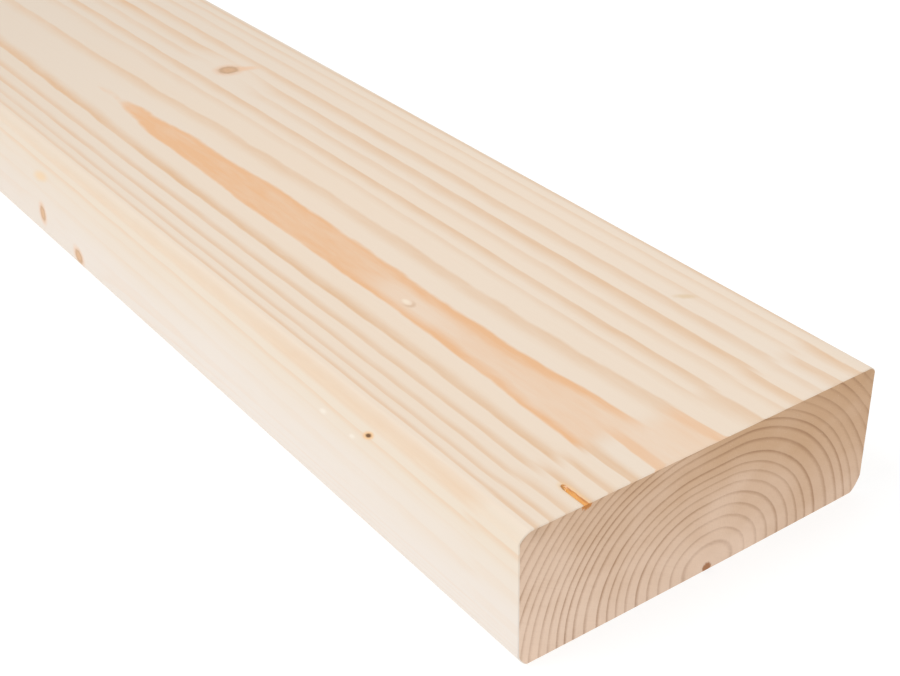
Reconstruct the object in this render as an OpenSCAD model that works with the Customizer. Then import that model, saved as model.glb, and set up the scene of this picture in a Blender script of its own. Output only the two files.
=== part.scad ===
// A planed spruce plank: one stick of timber with square-cut ends and four
// eased edges. It lies on the wide face that is nearer the heart of the tree.
// X runs along the grain, Y across the wide faces and Z upwards. The origin is
// on the resting face, at the middle of the plank's length and width.
// All sizes are in millimetres.

/* [Plank] */
// Length between the two sawn ends
plank_length = 2400; // [1800:300:6000]
// Width across the wide faces
plank_width = 123; // [48:1:223]
// Thickness between the wide faces
plank_thickness = 42; // [28:1:98]

/* [Eased edges] */
// How full the eased edges are: 1 is a flat chamfer and 2 is a quarter round
ease_fullness = 1.4; // [1:0.1:2]

/* [Top left edge] */
// Reach of the easing across the top face
top_left_across = 3.7; // [1:0.1:6]
// Reach of the easing down the left side
top_left_down = 2.9; // [1:0.1:6]

/* [Top right edge] */
// Reach of the easing across the top face
top_right_across = 2.2; // [1:0.1:6]
// Reach of the easing down the right side
top_right_down = 2; // [1:0.1:6]

/* [Bottom left edge] */
// Reach of the easing across the resting face
bottom_left_across = 3; // [1:0.1:6]
// Reach of the easing up the left side
bottom_left_up = 3.9; // [1:0.1:6]

/* [Bottom right edge] */
// Reach of the easing across the resting face
bottom_right_across = 3.8; // [1:0.1:6]
// Reach of the easing up the right side
bottom_right_up = 5.5; // [1:0.1:6]

/* [Hidden] */

// Flats that make up each eased edge
ease_flats = 8;

// One coordinate of an eased edge, from 0 at its middle to 1 at its end. The
// sine or cosine is raised to a power, which flattens a circle to a chamfer.
function eased(ratio) = sign(ratio) * pow(abs(ratio), 2 / ease_fullness);

// The points of one eased edge. They turn 90 degrees from start_angle about a
// centre that lies one reach inside each of the two faces that meet there.
function eased_edge(centre, reach, start_angle) = [
    for (step = [0 : ease_flats])
        let (angle = start_angle + 90 * step / ease_flats)
        [centre[0] + reach[0] * eased(cos(angle)),
         centre[1] + reach[1] * eased(sin(angle))]
];

// The plank's section in Y and Z, going round from the top right edge
module plank_section() {
    side = plank_width / 2;
    polygon(concat(
        eased_edge([side - top_right_across, plank_thickness - top_right_down],
                   [top_right_across, top_right_down], 0),
        eased_edge([top_left_across - side, plank_thickness - top_left_down],
                   [top_left_across, top_left_down], 90),
        eased_edge([bottom_left_across - side, bottom_left_up],
                   [bottom_left_across, bottom_left_up], 180),
        eased_edge([side - bottom_right_across, bottom_right_up],
                   [bottom_right_across, bottom_right_up], 270)
    ));
}

// The section turned upright and run along X, from one sawn end to the other
module plank() {
    color("burlywood")
        translate([-plank_length / 2, 0, 0])
            rotate([90, 0, 90])
                linear_extrude(plank_length)
                    plank_section();
}

plank();
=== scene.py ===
from math import cos, log, pi, radians, sin

import bpy
import bmesh
from mathutils import Matrix, Vector, noise


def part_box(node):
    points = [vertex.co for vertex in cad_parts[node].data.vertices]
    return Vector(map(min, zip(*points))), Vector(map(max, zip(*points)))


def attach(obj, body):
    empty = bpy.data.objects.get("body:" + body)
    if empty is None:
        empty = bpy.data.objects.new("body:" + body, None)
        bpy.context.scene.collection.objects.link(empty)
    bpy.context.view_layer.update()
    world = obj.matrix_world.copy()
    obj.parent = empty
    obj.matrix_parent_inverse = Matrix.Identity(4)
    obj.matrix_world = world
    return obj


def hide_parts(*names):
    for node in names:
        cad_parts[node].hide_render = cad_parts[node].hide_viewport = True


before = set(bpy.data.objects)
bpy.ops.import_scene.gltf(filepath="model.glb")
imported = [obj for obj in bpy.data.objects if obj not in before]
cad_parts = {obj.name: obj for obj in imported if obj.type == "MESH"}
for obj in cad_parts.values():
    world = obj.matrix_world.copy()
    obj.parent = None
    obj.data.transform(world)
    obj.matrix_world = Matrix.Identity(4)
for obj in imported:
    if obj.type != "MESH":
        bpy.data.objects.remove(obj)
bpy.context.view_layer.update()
print("frame loaded")

# Sizes come from the frame, in metres. The wood is described in millimetres:
# "back" is the distance from the near sawn end, "across" starts at the left
# side and "up" starts at the resting face.
mm = 0.001
weld = 1e-6     # points closer than this are one
low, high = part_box("plank")
length = (high.x - low.x) / mm
width = (high.y - low.y) / mm
thickness = (high.z - low.z) / mm


def place(back, across, up):
    # a point in the row's own frame, from the wood's millimetres
    return Vector((high.x - back * mm, low.y + across * mm, low.z + up * mm))


stick = {
    "acrossStep": 2.0,       # spacing of the mesh across the wide faces
    "upStep": 3.2,           # and up the narrow faces
    "flatMargin": 6.2,       # the eased edges lie inside this margin
    "stations": 400,         # cross sections along the grain
    "evenShare": 0.10,       # share of the length that is spaced evenly
    "crowding": 2.5,         # how strongly sections crowd to the near end
    "arris": 0.28,           # wear on the two sawn ends' edges
    "cup": 0.35,             # rise of the resting face at its two edges
    "hollow": 0.12,          # dip along the middle of the top face
    "sawWave": 0.10,         # unevenness of the sawn ends
    "sawCell": (7.0, 5.0),   # size of its waves, across and up
    "sawFine": 1.7,          # and of the finer ones
    "arrisTear": 0.30,       # fibres torn off along the sawn edges
    "tearCell": 1.3,         # width of such a tear
    "pocketStep": 0.35,      # finer mesh spacing over the resin pocket
    "pocketCuts": 5,         # cuts on each side of its middle
    "flatAngle": 0.3,        # faces that differ by less are one, in degrees
    "rimAngle": 60.0,        # the sawn edges are sharper than this
    "creaseAngle": 32.0,     # shading breaks at edges sharper than this
    "rimReach": 0.5,         # the tears lie this close to the sawn edge
    "touch": 0.01,           # points this close to a face lie on it
}

# A pocket of resin, opened by the saw at the near end of the top face
resinPocket = {
    "across": 20.6,
    "reach": 9.4,
    "halfWidth": 0.72,
    "depth": 1.2,
    "roundEnd": 2.0,     # length over which it closes at its far end
}

# The tree's heart and its rings
timber = {
    "heartAcross": 63.6,       # the heart on the near sawn end
    "heartAlong": 50.7,        # and its place further along
    "heartUp": 1.2,
    "bow": 3.0,                # how far the heart bows sideways
    "swing": 330.0,            # the heart swings out over this length
    "swingLow": (2.0, 12.0),   # low down only, fading out between these heights
    "pith": 1.5,               # radius of the brown heart
    "knotLean": 20.0,          # knots lean towards the near end by this angle
    "knotFrom": 50.0,          # a knot has its full radius this far out
    "endBlock": (13.0, 24.0),  # the near end's own rings fade out over this
    "endShiftReach": 20.0,     # endShift is a share of this
    "fullYear": 11,            # the year that the top face lays open
    "outerReach": 60.0,        # nearOuter holds this far out
    "sinkReach": 3.0,          # narrowing is a share of this
    "sinkStart": 0.75,         # and is counted from here
    "leftToRight": (38.0, 50.0),      # the left looks change to the right ones
    "endLeftToRight": (40.0, 70.0),   # the same on the sawn ends
}

# Where each knot leaves the heart, the way it grows round the stem (0 is to
# the right and 90 straight up), its radius 50 mm out, the slant of its cut
# across the grain, how much narrower it is along the grain, and its kind
knots = [
    {"back": 321, "turn": 46, "radius": 2.7, "slant": -0.25, "narrow": 0.74, "tone": "brown"},
    {"back": 320, "turn": 42.2, "radius": 3.6, "slant": 0.16, "narrow": 1.45, "tone": "tail"},
    {"back": 305, "turn": 168, "radius": 3.2, "slant": 0.03, "narrow": 1.45, "tone": "brown"},
    {"back": 274.6, "turn": 174, "radius": 2.7, "slant": -0.1, "narrow": 0.95, "tone": "brown"},
    {"back": 303, "turn": 151.2, "radius": 2.4, "slant": 1.4, "narrow": 0.55, "tone": "blush"},
    {"back": 86.7, "turn": 146.4, "radius": 0.78, "slant": 0.9, "narrow": 1.0, "tone": "dark"},
    {"back": 121.8, "turn": 102.6, "radius": 1.1, "slant": 0.05, "narrow": 0.55, "tone": "eye"},
    {"back": 94.2, "turn": 150.4, "radius": 0.8, "slant": 0.9, "narrow": 0.75, "tone": "pale"},
    {"back": 109, "turn": 150.2, "radius": 1.0, "slant": 0.9, "narrow": 0.72, "tone": "pale"},
    {"back": 85, "turn": 35.4, "radius": 1.7, "slant": 0.6, "narrow": 1.0, "tone": "tan"},
    {"back": 780, "turn": 62, "radius": 5.0, "slant": 0.4, "narrow": 1.2, "tone": "brown"},
    {"back": 792, "turn": 122, "radius": 3.8, "slant": 0.5, "narrow": 1.2, "tone": "brown"},
    {"back": 762, "turn": 171, "radius": 3.6, "slant": 0.4, "narrow": 1.1, "tone": "brown"},
    {"back": 771, "turn": 14, "radius": 4.2, "slant": 0.5, "narrow": 1.2, "tone": "brown"},
    {"back": 1064, "turn": 98, "radius": 1.1, "slant": 1.0, "narrow": 1.0, "tone": "dark"},
    {"back": 1310, "turn": 36, "radius": 4.4, "slant": 0.6, "narrow": 1.3, "tone": "brown"},
    {"back": 1324, "turn": 96, "radius": 5.4, "slant": 0.3, "narrow": 1.1, "tone": "brown"},
    {"back": 1296, "turn": 158, "radius": 4.0, "slant": 0.5, "narrow": 1.2, "tone": "brown"},
    {"back": 1560, "turn": 22, "radius": 1.1, "slant": 1.2, "narrow": 1.0, "tone": "dark"},
    {"back": 1815, "turn": 76, "radius": 3.9, "slant": 0.4, "narrow": 1.2, "tone": "brown"},
    {"back": 1832, "turn": 135, "radius": 4.7, "slant": 0.6, "narrow": 1.2, "tone": "brown"},
    {"back": 1806, "turn": 8, "radius": 3.4, "slant": 0.4, "narrow": 1.2, "tone": "brown"},
    {"back": 2246, "turn": 52, "radius": 4.2, "slant": 0.5, "narrow": 1.2, "tone": "brown"},
    {"back": 2260, "turn": 112, "radius": 3.6, "slant": 0.4, "narrow": 1.2, "tone": "brown"},
    {"back": 2232, "turn": 165, "radius": 3.2, "slant": 0.4, "narrow": 1.2, "tone": "brown"},
]


def heartAcross(back):
    # the heart bows sideways along the plank
    return timber["heartAlong"] - timber["bow"] * sin(pi * back / length)


def cutAcross(bm, normal, values):
    # slices the closed solid with evenly spaced planes
    for value in values:
        geometry = bm.verts[:] + bm.edges[:] + bm.faces[:]
        bmesh.ops.bisect_plane(bm, geom=geometry, dist=weld,
                               plane_co=normal * value, plane_no=normal)


def steps(start, stop, size):
    count = max(2, round((stop - start) / size))
    return [start + (stop - start) * i / count for i in range(count + 1)]


def crowdSections(bm):
    # the sections start evenly spaced and are drawn towards the near end
    share, power = stick["evenShare"], stick["crowding"]
    for vert in bm.verts:
        far = (high.x - vert.co.x) / (length * mm)
        vert.co.x = high.x - length * mm * (share * far + (1 - share) * far ** power)


def bump(distance, reach):
    # 1 at the middle, easing down to 0 at the reach
    ratio = min(1.0, abs(distance) / reach)
    return (1 - ratio * ratio) ** 2


def pocketDepth(back, across):
    past = max(0.0, back - resinPocket["reach"] + resinPocket["roundEnd"]) / resinPocket["roundEnd"]
    if past >= 1.0:
        return 0.0
    half = resinPocket["halfWidth"] * (1 - past * past) ** 0.5
    return resinPocket["depth"] * bump(across - resinPocket["across"], half * 1.4)


def weather(bm):
    # cups the stick a little, roughens the sawn ends and opens the pocket
    sawAcross, sawUp = stick["sawCell"]
    fineCell, tearCell = stick["sawFine"], stick["tearCell"]
    rim, touch = stick["rimReach"], stick["touch"]
    for vert in bm.verts:
        back = (high.x - vert.co.x) / mm
        across = (vert.co.y - low.y) / mm
        up = (vert.co.z - low.z) / mm
        off = 2 * across / width - 1
        if up > thickness - touch:
            up -= stick["hollow"] * (1 - off * off)
            up -= pocketDepth(back, across)
        up += stick["cup"] * off * off * (1 - up / thickness)
        fromEnd = min(back, length - back)
        if fromEnd < touch:
            wave = noise.noise(Vector((across / sawAcross, up / sawUp, back)))
            fine = noise.noise(Vector((across / fineCell, up / fineCell, back + 9)))
            give = stick["sawWave"] * (0.5 + 0.35 * wave + 0.35 * fine)
            back += give if back < length / 2 else -give
        elif fromEnd < rim and up > thickness - rim:
            tear = noise.noise(Vector((across / tearCell, 4.0, back / 400)))
            up -= stick["arrisTear"] * max(0.0, tear)
        vert.co = place(back, across, up)


def lieInBox(bm):
    # nothing may stand outside the CAD part
    for vert in bm.verts:
        for axis in range(3):
            vert.co[axis] = min(max(vert.co[axis], low[axis]), high[axis])


# The map for baking: strips for the long faces, and above them a block for
# each sawn end. Sizes are shares of the map but for ease and gap.
bakeSheet = {
    "ease": 700.0,       # the near end has more of a strip's length than the far
    "gap": 4.0,          # between two strips
    "stripShare": 0.80,  # height of all the strips
    "stripInset": 0.004,
    "blockWidth": 0.48,
    "blockInset": 0.01,
    "blockLift": 0.015,
    "endSlope": 0.75,    # faces turned further to the end lie in a block
}


def bakeMap(bm):
    layer = bm.loops.layers.uv.new("OFBake")
    ease, gap = bakeSheet["ease"], bakeSheet["gap"]
    stripShare, inset = bakeSheet["stripShare"], bakeSheet["stripInset"]
    blockWidth = bakeSheet["blockWidth"]
    rows = {}
    start = gap
    for name, tall in (("top", width), ("right", thickness), ("bottom", width), ("left", thickness)):
        rows[name] = start
        start += tall + gap
    for face in bm.faces:
        n = face.normal
        for loop in face.loops:
            back = (high.x - loop.vert.co.x) / mm
            across = (loop.vert.co.y - low.y) / mm
            up = (loop.vert.co.z - low.z) / mm
            if abs(n.x) > bakeSheet["endSlope"]:
                half = 0.0 if n.x > 0 else 0.5
                u = half + bakeSheet["blockInset"] + blockWidth * across / width
                v = stripShare + bakeSheet["blockLift"] + blockWidth * up / width
            else:
                u = inset + (1 - 2 * inset) * log(1 + back / ease) / log(1 + length / ease)
                if abs(n.z) > abs(n.y):
                    row = rows["top"] + across if n.z > 0 else rows["bottom"] + width - across
                else:
                    row = rows["right"] + thickness - up if n.y > 0 else rows["left"] + up
                v = stripShare * row / start
            loop[layer].uv = (u, v)


def makeStick():
    bm = bmesh.new()
    bm.from_mesh(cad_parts["plank"].data)
    bmesh.ops.remove_doubles(bm, verts=bm.verts, dist=weld)
    bmesh.ops.dissolve_limit(bm, angle_limit=radians(stick["flatAngle"]),
                             verts=bm.verts[:], edges=bm.edges[:])
    margin = stick["flatMargin"]
    acrossCuts = steps(margin, width - margin, stick["acrossStep"])
    fineCuts = range(-stick["pocketCuts"], stick["pocketCuts"] + 1)
    acrossCuts += [resinPocket["across"] + stick["pocketStep"] * i for i in fineCuts]
    cutAcross(bm, Vector((0, 1, 0)), [low.y + value * mm for value in sorted(acrossCuts)])
    upCuts = steps(margin, thickness - margin, stick["upStep"])
    cutAcross(bm, Vector((0, 0, 1)), [low.z + value * mm for value in upCuts])
    long = [e for e in bm.edges if abs(e.verts[0].co.x - e.verts[1].co.x) > 0.5 * length * mm]
    bmesh.ops.subdivide_edges(bm, edges=long, cuts=stick["stations"] - 1)
    crowdSections(bm)
    rimAngle = radians(stick["rimAngle"])
    rims = [e for e in bm.edges if len(e.link_faces) == 2 and e.calc_face_angle(0) > rimAngle]
    bmesh.ops.bevel(bm, geom=rims, offset=stick["arris"] * mm, offset_type="OFFSET",
                    segments=1, profile=0.5, affect="EDGES", material=-1)
    bm.normal_update()
    for face in bm.faces:
        face.smooth = True
        face.material_index = 1 if abs(face.normal.x) > 0.9 else 0
    bakeMap(bm)
    weather(bm)
    lieInBox(bm)
    mesh = bpy.data.meshes.new("plankMesh")
    bm.to_mesh(mesh)
    bm.free()
    mesh.set_sharp_from_angle(angle=radians(stick["creaseAngle"]))
    piece = bpy.data.objects.new("spruce_plank", mesh)
    bpy.context.scene.collection.objects.link(piece)
    return piece


class Wire:
    # one socket of a material; arithmetic on wires adds Math nodes
    def __init__(self, sheet, socket):
        self.sheet = sheet
        self.socket = socket

    def math(self, operation, *others):
        return self.sheet.node("ShaderNodeMath", {"operation": operation}, [self, *others])

    def __add__(self, other):
        return self.math("ADD", other)

    __radd__ = __add__

    def __mul__(self, other):
        return self.math("MULTIPLY", other)

    __rmul__ = __mul__

    def __sub__(self, other):
        return self.math("SUBTRACT", other)

    def __rsub__(self, other):
        return self.sheet.node("ShaderNodeMath", {"operation": "SUBTRACT"}, [other, self])

    def __truediv__(self, other):
        return self.math("DIVIDE", other)

    def __pow__(self, other):
        return self.math("POWER", other)


class Sheet:
    # the node sheet of one material
    def __init__(self, name):
        self.material = bpy.data.materials.new(name)
        self.material.use_nodes = True
        self.nodes = self.material.node_tree.nodes
        self.links = self.material.node_tree.links
        self.nodes.clear()

    def node(self, kind, settings, inputs, output=0):
        new = self.nodes.new(kind)
        for name, value in settings.items():
            if name == "stops":
                self.setRamp(new.color_ramp, value)
            elif name == "points":
                self.setCurve(new.mapping, *value)
            else:
                setattr(new, name, value)
        pairs = inputs.items() if isinstance(inputs, dict) else enumerate(inputs)
        for key, value in pairs:
            if isinstance(value, Wire):
                self.links.new(value.socket, new.inputs[key])
            else:
                new.inputs[key].default_value = value
        return Wire(self, new.outputs[output]) if new.outputs else None

    def setRamp(self, ramp, stops):
        while len(ramp.elements) < len(stops):
            ramp.elements.new(0.5)
        for element, (position, colour) in zip(ramp.elements, stops):
            element.position = position
            element.color = colour

    def setCurve(self, mapping, points, handle):
        curve = mapping.curves[0]
        for x, y in points[1:-1]:
            curve.points.new(x, y)
        for point, (x, y) in zip(curve.points, points):
            point.location = (x, y)
            point.handle_type = handle
        mapping.update()

    def smooth(self, value, start, stop, first=0.0, last=1.0):
        # eases from the first number to the last between start and stop
        return self.node("ShaderNodeMapRange", {"interpolation_type": "SMOOTHSTEP"},
                         [value, start, stop, first, last])

    def curve(self, value, points, handle="VECTOR"):
        return self.node("ShaderNodeFloatCurve", {"points": (points, handle)}, [1.0, value])

    def drawn(self, turn, points):
        # a smooth curve round the heart; its values may pass 1
        halved = [(x, y / 2) for x, y in points]
        return self.curve(turn, halved, "AUTO") * 2.0

    def vector(self, operation, *inputs, output=0):
        return self.node("ShaderNodeVectorMath", {"operation": operation}, list(inputs), output)

    def mix(self, amount, first, second):
        # between two colours
        return self.node("ShaderNodeMix", {"data_type": "RGBA"}, {0: amount, 6: first, 7: second}, 2)

    def blend(self, amount, first, second):
        # between two numbers
        return self.node("ShaderNodeMix", {"data_type": "FLOAT"}, {0: amount, 2: first, 3: second}, 0)

    def grain(self, point, size, detail=1.0, rough=0.5):
        # soft noise about 0, with the given size of its cells in millimetres
        scaled = self.vector("MULTIPLY", point, tuple(1 / s for s in size))
        cloud = self.node("ShaderNodeTexNoise", {}, {"Vector": scaled, "Scale": 1.0,
                                                     "Detail": detail, "Roughness": rough})
        return cloud - 0.5

    def tilt(self, relief):
        # a relief in millimetres, which only turns the light
        return self.node("ShaderNodeBump", {}, {"Strength": 0.6, "Distance": mm, "Height": relief})

    def finish(self, shader):
        self.node("ShaderNodeOutputMaterial", {}, {"Surface": shader})
        return self.material


def tint(red, green, blue):
    # a colour given as it looks on a screen, from 0 to 255
    def linear(value):
        value /= 255
        return value / 12.92 if value <= 0.04045 else ((value + 0.055) / 1.055) ** 2.4
    return (linear(red), linear(green), linear(blue), 1.0)


# Each year's growth straight above the heart, then how dark its late wood is
# and the share of the ring that it fills, to the left and to the right
years = [
    (8.5, 0.35, 0.30, 0.35, 0.30), (3.5, 0.30, 0.30, 0.30, 0.30), (3.7, 0.30, 0.35, 0.30, 0.35),
    (3.2, 0.40, 0.35, 0.35, 0.35), (3.2, 0.70, 0.40, 0.60, 0.40), (3.0, 0.40, 0.40, 0.40, 0.40),
    (2.6, 0.40, 0.40, 0.40, 0.40), (2.4, 0.50, 0.40, 0.50, 0.40), (2.7, 0.70, 0.45, 0.70, 0.45),
    (3.4, 0.50, 0.40, 0.50, 0.40), (2.8, 0.65, 0.45, 0.65, 0.45), (2.1, 1.00, 0.50, 1.00, 0.50),
    (2.0, 0.84, 0.64, 0.52, 0.64), (2.2, 0.62, 0.60, 0.30, 0.60), (2.1, 0.64, 0.60, 0.70, 0.88),
    (2.3, 0.52, 0.62, 0.36, 0.62), (2.0, 0.54, 0.62, 0.72, 0.98), (2.1, 0.62, 0.62, 0.54, 0.70),
    (2.2, 0.66, 0.62, 0.34, 0.62), (2.5, 0.64, 0.60, 0.34, 0.60), (2.2, 0.60, 0.60, 0.48, 0.60),
    (2.3, 0.58, 0.60, 0.42, 0.60), (2.3, 0.54, 0.60, 0.46, 0.60), (2.4, 0.50, 0.60, 0.50, 0.60),
    (2.4, 0.50, 0.60, 0.50, 0.60), (2.4, 0.50, 0.60, 0.50, 0.60),
]
curveReach = 90.0     # the radius at the end of the year curve
curveYears = 40.0     # and the number of years at its top

# How far rings are drawn in towards the heart, from the right (0) over the
# top (0.5) to the left (1): at the near sawn end, close to the heart and 60 mm
# out, and then along the plank, where the heart lies further left
nearInner = [(0, 0.873), (0.125, 0.892), (0.25, 0.947), (0.375, 0.988), (0.5, 1.0),
             (0.625, 0.961), (0.75, 0.914), (0.875, 0.872), (1, 0.896)]
nearOuter = [(0, 0.755), (0.125, 0.804), (0.25, 0.853), (0.375, 0.911), (0.5, 1.0),
             (0.625, 0.958), (0.75, 0.883), (0.875, 0.844), (1, 0.820)]
alongDraw = [(0, 0.76), (0.1, 0.743), (0.167, 0.742), (0.233, 0.85), (0.3, 0.943), (0.367, 0.986),
             (0.433, 1.021), (0.5, 1.007), (0.567, 0.969), (0.633, 0.933), (0.7, 0.884),
             (0.767, 0.846), (0.833, 0.862), (0.9, 0.877), (1, 0.874)]

# How far the top of the rings has sunk as the stem narrows, as a share of
# sinkReach, at each distance back over the plank's length
narrowing = [(0, 0.0), (0.010, 0.10), (0.0254, 0.24), (0.041, 0.285), (0.0625, 0.265), (0.079, 0.26),
             (0.0975, 0.34), (0.106, 0.34), (0.123, 0.49), (0.154, 0.60), (0.21, 0.70),
             (0.4, 0.75), (1, 0.90)]

# How far the rings on the top's last millimetres stand to the right, as a share
# of endShiftReach, at each place over the width
endShift = [(0, 0.08), (0.1, 0.25), (0.17, 0.38), (0.24, 0.48), (0.33, 0.525), (0.54, 0.57),
            (0.64, 0.655), (1, 0.65)]

colours = {
    "early": tint(239, 223, 205),
    "earlyWarm": tint(240, 221, 200),
    "late": tint(237, 188, 143),
    "lateThin": tint(227, 188, 149),
    # painted shade for the far part of the plank, where the light falls off
    "farPaintedShade": tint(218, 202, 184),
    "sideLow": tint(231, 221, 211),
    "sideHigh": tint(230, 215, 196),
    "endEarly": tint(238, 210, 187),
    # painted shade on the sawn end's upper right, away from the light
    "endPaintedShade": tint(206, 168, 132),
    "endLate": tint(158, 116, 84),
    "heart": tint(166, 110, 68),
    "resin": tint(240, 180, 98),
    "resinEdge": tint(200, 126, 56),
    "stain": tint(246, 204, 146),
    "eyeRim": tint(206, 170, 134),
    "fleck": tint(240, 222, 200),
}

# A brown knot's own colours from its middle outwards
knotBody = [
    (0.0, tint(212, 170, 130)), (0.35, tint(216, 176, 138)), (0.6, tint(206, 166, 130)),
    (0.86, tint(192, 156, 120)), (1.0, tint(212, 178, 146)),
]

# Marks in the order they are laid on the wood: the kind of knot, where the
# mark fades out in the knot's radii, its strength, and its colour
marks = [
    ("brown", (0.9, 1.9), 0.5, tint(232, 188, 152)),
    ("tail", (0.3, 1.4), 0.75, tint(238, 198, 164)),
    ("brown", (0.65, 1.3), 0.92, "body"),
    ("blush", (0.2, 1.5), 0.7, tint(236, 202, 156)),
    ("tan", (0.2, 1.3), 0.55, tint(222, 192, 148)),
    ("dark", (1.1, 2.6), 0.85, tint(238, 190, 132)),
    ("dark", (0.5, 1.4), 1.0, tint(110, 74, 38)),
    ("pale", (0.2, 1.4), 0.4, tint(250, 243, 232)),
    ("eye", (0.3, 1.3), 0.8, tint(250, 234, 212)),
]
speckled = ("brown", "tail", "blush", "tan", "dark")     # kinds with an uneven edge

planed = {
    "laidOpen": (92.0, 150.0, 0.42, 0.85),   # the laid-open year fills out, going back
    "nearFill": 0.30,                        # how full it is on the last millimetres
    "nearBoost": 1.1,                        # late wood is darker there
    "nearDarkest": 0.62,                     # up to this
    "nearUp": (4.0, 16.0),                   # which the underside doesn't share
    "leftSide": (1.0, 4.0, 1.0, 0.0),        # the left side's look ends over this
    "leftFaint": (30.0, 34.0, 0.8, 0.35),    # its lines are fainter low down
    "farPaintedShade": (100.0, 560.0, 0.0, 0.6),     # painted shade: the wood darkens going back, as the light falls off
    "knotCalm": 0.85,                        # how far the lines fade round a knot
    "roughness": 0.62,
    "specular": 0.35,
    "gumCoat": 0.8,
    "gumCoatRoughness": 0.15,
}

sawn = {
    "farFrom": (100.0, 200.0, 1.0, 0.0),   # the near end's rings give way to the far's
    "heartClear": (6.0, 7.6),              # no lines closer to the heart than this
    "lineStrength": 0.42,
    "lateStrength": 0.24,
    "fuzzStrength": 0.22,
    "scrapeStrength": 0.18,
    "roughness": 0.8,
    "specular": 0.2,
}


def yearCurves():
    # the years' number against the radius, and their four looks against the number
    radius = 0.0
    number = [(0.0, 0.0)]
    lists = [[], [], [], []]
    for i, (growth, *looks) in enumerate(years):
        radius += growth
        number.append((radius / curveReach, (i + 1) / curveYears))
        for points, look in zip(lists, looks):
            points.append((i / curveYears, look))
    left = (curveReach - radius) / years[-1][0]
    number.append((1.0, (len(years) + left) / curveYears))
    for points in lists:
        points.append((1.0, points[-1][1]))
    return number, lists


def polar(across, up):
    # distance from the heart, and the direction from 0 (right) to 1 (left)
    up = up.math("ABSOLUTE")
    out = (across * across + up * up).math("SQRT")
    return out, up.math("ARCTAN2", across) / pi


def nearRings(sheet, across, up):
    # ring radius on the near sawn end
    out, turn = polar(across - timber["heartAcross"], up - timber["heartUp"])
    inner = sheet.drawn(turn, nearInner)
    outer = sheet.drawn(turn, nearOuter)
    return out * (inner + (outer - inner) * (out / timber["outerReach"]))


def heartPath(sheet, back, up):
    # the heart bows along the plank, and low down it swings out to meet its
    # place on the near end
    bow = (back * (pi / length)).math("SINE") * -timber["bow"] + timber["heartAlong"]
    swing = sheet.smooth(back, 0.0, timber["swing"], timber["heartAcross"] - timber["heartAlong"], 0.0)
    return bow + swing * sheet.smooth(up, *timber["swingLow"], 1.0, 0.0)


def alongRings(sheet, point, back, across, up):
    # ring radius over the plank's length, where the heart bows
    above = up - timber["heartUp"]
    out, turn = polar(across - heartPath(sheet, back, up), above)
    rise = above.math("ABSOLUTE") / (out + 0.01)
    sink = sheet.curve(back / length, narrowing) * timber["sinkReach"] - timber["sinkStart"]
    sink = sink * sheet.smooth(out, 4.0, 34.0)
    far = sheet.smooth(back, 420.0, 900.0)
    drift = sheet.grain(point, (420, 60, 60)) * far * 2.6
    return out * sheet.drawn(turn, alongDraw) + rise ** 4.0 * sink + drift


def pithReach(sheet, back, across, up):
    # how many radii of the brown heart a point is from its middle
    reach = polar(across - heartPath(sheet, back, up), up - timber["heartUp"])[0]
    return reach / timber["pith"]


def ringLook(sheet, radius, side, fill):
    # the late wood's darkness, the thin dark line that an end cut shows, and
    # whether this is the year laid open along the top, which is filled evenly
    crest = 0.90     # the share of a year at which it is darkest
    number, lists = yearCurves()
    age = sheet.curve(radius / curveReach, number) * curveYears
    year = age.math("FLOOR")
    part = age - year
    looks = [sheet.curve(year / curveYears, points) for points in lists]
    dark = sheet.blend(side, looks[0], looks[2])
    share = sheet.blend(side, looks[1], looks[3])
    full = 1.0 - (year - timber["fullYear"]).math("ABSOLUTE").math("MINIMUM", 1.0)
    rise = sheet.smooth(part, 1.0 - share, crest)
    fall = sheet.smooth(part, crest, 1.0, 1.0, 0.0)
    line = sheet.smooth(part, crest / 2, crest) ** 2.0 * fall
    return {
        "late": (rise * dark).math("MAXIMUM", full * fill) * fall,
        "line": line * (dark.math("MINIMUM", 0.7) * 0.9 + 0.3),
        "full": full,
    }


def knotReach(sheet, point, knot):
    # how many of its own radii a point is from a knot, and from its stir
    back, turn, lean = knot["back"], radians(knot["turn"]), radians(timber["knotLean"])
    start = (length / 2 - back, heartAcross(back) - width / 2, timber["heartUp"])
    way = Vector((sin(lean), cos(turn) * cos(lean), sin(turn) * cos(lean)))
    girth = Vector((0.0, -sin(turn), cos(turn)))
    slanted = (way.cross(girth) + girth * knot["slant"]) * knot["narrow"]
    awayFromLight = sheet.vector("SUBTRACT", point, start)
    along = sheet.vector("DOT_PRODUCT", awayFromLight, tuple(way), output=1)
    first = sheet.vector("DOT_PRODUCT", awayFromLight, tuple(slanted), output=1)
    second = sheet.vector("DOT_PRODUCT", awayFromLight, tuple(girth), output=1)
    off = (first * first + second * second).math("SQRT")
    stir = (first * first * 0.16 + second * second).math("SQRT")
    outward = along.math("MAXIMUM", 2.0).math("MINIMUM", timber["knotFrom"])
    size = outward * (knot["radius"] / timber["knotFrom"]) + 0.1
    return off / size, stir / size


def knotFields(sheet, point):
    # the nearest knot of each kind
    reach, stirs = {}, {}
    for knot in knots:
        off, stir = knotReach(sheet, point, knot)
        tone = knot["tone"]
        reach[tone] = off if tone not in reach else reach[tone].math("MINIMUM", off)
        stirs[tone] = stir if tone not in stirs else stirs[tone].math("MINIMUM", stir)
    return reach, stirs


def woodPoint(sheet):
    # the point in millimetres in the row's frame, and as back, across and up
    spot = sheet.node("ShaderNodeTexCoord", {}, {}, 3)
    point = sheet.node("ShaderNodeVectorMath", {"operation": "SCALE"}, {0: spot, 3: 1 / mm})
    x, y, z = [sheet.node("ShaderNodeSeparateXYZ", {}, [point], axis) for axis in range(3)]
    return point, length / 2 - x, y + width / 2, z


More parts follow.
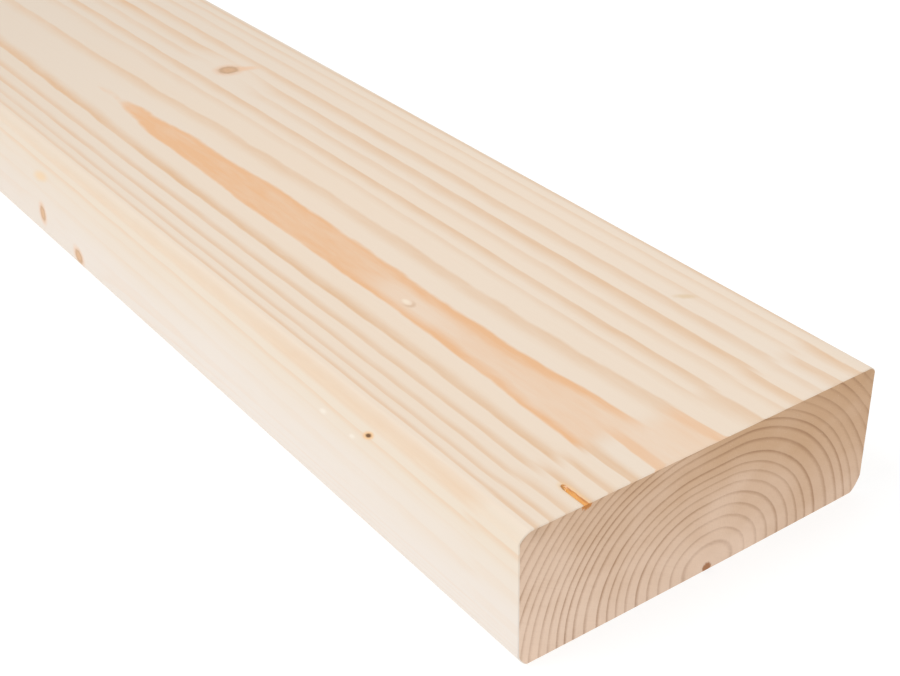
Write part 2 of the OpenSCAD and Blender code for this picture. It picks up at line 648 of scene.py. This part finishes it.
def wobble(sheet, point):
    # how far a ring strays from its even course
    wavy = sheet.grain(point, (16.0, 11.0, 11.0), 0.0) * 0.24
    ragged = sheet.grain(point, (4.0, 2.0, 2.0), 0.0) * 0.07
    return wavy + ragged


def lateWood(sheet, spot, stray, stirs):
    # how dark the late wood is, and where it is of the year laid open on top
    point, back, across, up = spot
    calm = sheet.smooth(stirs["brown"], 1.2, 3.8, 1.0, 0.0)
    eyeCalm = sheet.smooth(stirs["eye"], 1.5, 6.0, 0.5, 0.0)
    radius = alongRings(sheet, point, back, across, up) + stray - calm * 0.4
    side = sheet.smooth(across, *timber["leftToRight"])
    fill = sheet.smooth(back + stray * 30.0, *planed["laidOpen"])
    rings = ringLook(sheet, radius, side, fill)
    shifted = across - sheet.curve(across / width, endShift, "AUTO") * timber["endShiftReach"]
    nearRadius = alongRings(sheet, point, back, shifted, up) + stray
    nearSide = sheet.smooth(shifted, *timber["leftToRight"])
    nearLook = ringLook(sheet, nearRadius, nearSide, planed["nearFill"])
    nearLate = (nearLook["late"] * planed["nearBoost"]).math("MINIMUM", planed["nearDarkest"])
    near = sheet.smooth(back + stray * 14.0, *timber["endBlock"], 1.0, 0.0)
    near = near * sheet.smooth(up, *planed["nearUp"])
    late = sheet.blend(near, rings["late"], nearLate)
    late = late * (1.0 - calm * planed["knotCalm"]) * (1.0 - eyeCalm)
    return late, sheet.blend(near, rings["full"], nearLook["full"])


def layMarks(sheet, wood, reach, speckle, back):
    # the pale eye has a rim on its near side only
    rim = sheet.smooth(reach["eye"], 1.0, 1.3) * sheet.smooth(reach["eye"], 1.5, 2.2, 1.0, 0.0)
    rim = rim * sheet.smooth(back, 103.0, 107.0, 0.5, 0.0)
    wood = sheet.mix(rim, wood, colours["eyeRim"])
    for tone in speckled:
        reach[tone] = reach[tone] + speckle
    body = sheet.node("ShaderNodeValToRGB", {"stops": knotBody}, [reach["brown"]])
    for tone, (start, stop), strength, colour in marks:
        amount = sheet.smooth(reach[tone], start, stop, strength, 0.0)
        wood = sheet.mix(amount, wood, body if colour == "body" else colour)
    return wood


def layResin(sheet, wood, spot, speckle):
    # the resin in its pocket, and its stain round it
    back, across, up = spot[1:]
    off = (across - resinPocket["across"]).math("ABSOLUTE") / resinPocket["halfWidth"]
    past = (back - resinPocket["reach"] + 1.0).math("MAXIMUM", 0.0) / 1.2
    onTop = sheet.smooth(up, thickness - 3.0, thickness - 2.0)
    gum = (off * off + past * past).math("SQRT") + speckle
    isGum = sheet.smooth(gum, 0.95, 1.25, 1.0, 0.0) * onTop
    stain = sheet.smooth(gum, 1.0, 2.8, 0.45, 0.0) * onTop
    wood = sheet.mix(stain, wood, colours["stain"])
    edge = sheet.smooth(gum + speckle, 0.5, 1.15)
    return isGum, sheet.mix(isGum, wood, sheet.mix(edge, colours["resin"], colours["resinEdge"]))


def longGrain():
    # the planed faces
    sheet = Sheet("planedSpruce")
    spot = woodPoint(sheet)
    point, back, across, up = spot
    stray = wobble(sheet, point)
    reach, stirs = knotFields(sheet, point)
    late, full = lateWood(sheet, spot, stray, stirs)
    onSide = sheet.smooth(across, *planed["leftSide"])
    late = late * (1.0 - onSide * sheet.smooth(up, *planed["leftFaint"]))

    streak = sheet.grain(point, (34.0, 0.55, 0.55), 2.0, 0.6)
    broad = sheet.grain(point, (300.0, 26.0, 26.0))
    cloud = sheet.grain(point, (60.0, 9.0, 9.0), 2.0)
    mottle = sheet.grain(point, (9.0, 1.6, 1.6), 2.0)
    base = sheet.mix(sheet.smooth(broad, -0.2, 0.2), colours["early"], colours["earlyWarm"])
    rising = sheet.smooth(up + cloud * 16.0, 6.0, 40.0)
    base = sheet.mix(onSide, base, sheet.mix(rising, colours["sideLow"], colours["sideHigh"]))
    # painted shade: the faces darken going back, standing in for the light's falloff along the plank
    base = sheet.mix(sheet.smooth(back, *planed["farPaintedShade"]), base, colours["farPaintedShade"])
    amount = late * (cloud + mottle * 0.4 + 0.96) + streak * 0.12 + mottle * 0.10
    amount = (amount + cloud * 0.08).math("MAXIMUM", 0.0)
    wood = sheet.mix(amount, base, sheet.mix(full, colours["lateThin"], colours["late"]))

    speckle = sheet.grain(point, (2.0, 0.8, 0.8), 2.0) * 0.5
    wood = layMarks(sheet, wood, reach, speckle, back)
    isGum, wood = layResin(sheet, wood, spot, speckle)
    heart = pithReach(sheet, back, across, up) + mottle * 1.6
    heart = sheet.smooth(heart, 0.5, 1.5, 0.5, 0.0) * (cloud + 0.9)
    wood = sheet.mix(heart, wood, colours["heart"])

    rough = (planed["roughness"] - late * 0.10 + streak * 0.10) - isGum * 0.35
    return sheet.finish(sheet.node("ShaderNodeBsdfPrincipled", {}, {
        "Base Color": wood,
        "Roughness": rough,
        "Coat Weight": isGum * planed["gumCoat"],
        "Coat Roughness": planed["gumCoatRoughness"],
        "Specular IOR Level": planed["specular"],
        "Normal": sheet.tilt(late * 0.05 + streak * 0.05 + stray * 0.05)}))


def endGrain():
    # the two sawn ends
    sheet = Sheet("sawnSpruce")
    point, back, across, up = woodPoint(sheet)
    stray = wobble(sheet, point)
    farRadius = alongRings(sheet, point, back, across, up)
    isNear = sheet.smooth(back, *sawn["farFrom"])
    radius = sheet.blend(isNear, farRadius, nearRings(sheet, across, up))
    side = sheet.smooth(across, *timber["endLeftToRight"])
    rings = ringLook(sheet, radius + stray, side, 0.0)
    clear = sheet.smooth(radius, *sawn["heartClear"])
    line = rings["line"] * clear
    late = rings["late"] * clear

    cloud = sheet.grain(point, (40.0, 22.0, 14.0), 2.0)
    fuzz = sheet.grain(point, (1.0, 0.5, 1.4), 2.0, 0.6)
    fleck = sheet.grain(point, (1.0, 0.28, 0.28), 0.0)
    # painted shade: the sawn end darkens towards its top and right, away from the light, broken up by
    # cloud noise
    awayFromLight = (across / width) * 0.45 + (up / thickness) * 0.5
    paintedShade = sheet.smooth(awayFromLight + cloud * 0.6, 0.05, 0.9)
    base = sheet.mix(paintedShade, colours["endEarly"], colours["endPaintedShade"])
    # the saw's marks run slanting over the end
    narrow = across * 1.3 + up * 2.0
    long = across * 0.06 - up * 0.04
    stroke = sheet.node("ShaderNodeCombineXYZ", {}, [narrow, long, 0.0])
    scrape = sheet.grain(stroke, (1.0, 1.0, 1.0))
    amount = line * (cloud * 1.1 + sawn["lineStrength"]) + late * sawn["lateStrength"]
    amount = amount + fuzz * sawn["fuzzStrength"] + scrape * sawn["scrapeStrength"]
    wood = sheet.mix(amount.math("MAXIMUM", 0.0), base, colours["endLate"])
    wood = sheet.mix(sheet.smooth(fleck, 0.27, 0.34, 0.0, 0.6), wood, colours["fleck"])
    pith = pithReach(sheet, back, across, up) + fuzz
    wood = sheet.mix(sheet.smooth(pith, 0.75, 1.3, 0.9, 0.0), wood, colours["heart"])
    pocket = (length / 2, resinPocket["across"] - width / 2, thickness)
    gum = sheet.vector("DISTANCE", point, pocket, output=1) + fuzz * 2.0
    wood = sheet.mix(sheet.smooth(gum, 1.3, 2.0, 0.9, 0.0), wood, colours["resinEdge"])
    return sheet.finish(sheet.node("ShaderNodeBsdfPrincipled", {}, {
        "Base Color": wood,
        "Roughness": sawn["roughness"],
        "Specular IOR Level": sawn["specular"],
        "Normal": sheet.tilt(line * 0.10 + fuzz * 0.12)}))


studio = {
    "skyStrength": 0.70,
    "keyStrength": 1.20,
    "keySpread": 36.0,
    "keyFrom": (-0.35, -0.80, 1.10),
    "floorColour": (0.35, 0.35, 0.35, 1.0),
    "floorGlow": 0.74,
    "floorSize": 12.0,
    "white": (1.0, 1.0, 1.0, 1.0),
}

view = {
    "spot": (1.42677, -0.23998, 0.27152),
    "forward": (-0.69849, 0.49246, -0.51923),
    "right": (0.58450, 0.81121, -0.01691),
    "lens": 62.74,
    "sensor": 36.0,
    "clip": (0.01, 100.0),
}


def makeFloor():
    bm = bmesh.new()
    bmesh.ops.create_grid(bm, x_segments=1, y_segments=1, size=studio["floorSize"])
    mesh = bpy.data.meshes.new("floorMesh")
    bm.to_mesh(mesh)
    bm.free()
    floor = bpy.data.objects.new("studio_floor", mesh)
    bpy.context.scene.collection.objects.link(floor)
    sheet = Sheet("paleFloor")
    shader = sheet.node("ShaderNodeBsdfPrincipled", {}, {
        "Base Color": studio["floorColour"], "Roughness": 1.0, "Specular IOR Level": 0.0,
        "Emission Color": studio["white"], "Emission Strength": studio["floorGlow"]})
    mesh.materials.append(sheet.finish(shader))


def makeLights():
    world = bpy.data.worlds.new("softSky")
    bpy.context.scene.world = world
    world.use_nodes = True
    background = world.node_tree.nodes["Background"]
    background.inputs["Color"].default_value = studio["white"]
    background.inputs["Strength"].default_value = studio["skyStrength"]
    key = bpy.data.lights.new("keyLight", "SUN")
    key.energy = studio["keyStrength"]
    key.angle = radians(studio["keySpread"])
    lamp = bpy.data.objects.new("keyLight", key)
    lamp.rotation_euler = Vector(studio["keyFrom"]).to_track_quat("Z", "Y").to_euler()
    bpy.context.scene.collection.objects.link(lamp)


def makeCamera():
    camera = bpy.data.cameras.new("camera")
    camera.lens = view["lens"]
    camera.sensor_width = view["sensor"]
    camera.clip_start, camera.clip_end = view["clip"]
    holder = bpy.data.objects.new("camera", camera)
    forward = Vector(view["forward"]).normalized()
    right = Vector(view["right"])
    right = (right - forward * right.dot(forward)).normalized()
    top = right.cross(forward)
    turn = Matrix((right, top, -forward)).transposed().to_4x4()
    holder.matrix_world = Matrix.Translation(Vector(view["spot"])) @ turn
    bpy.context.scene.collection.objects.link(holder)
    bpy.context.scene.camera = holder


makeCamera()
makeLights()
makeFloor()
bpy.context.scene.view_settings.view_transform = "Standard"
print("studio ready")

plank = makeStick()
print("plank shaped:", len(plank.data.polygons), "faces")
plank.data.materials.append(longGrain())
plank.data.materials.append(endGrain())
print("finishes made")

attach(plank, "root")
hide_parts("plank")
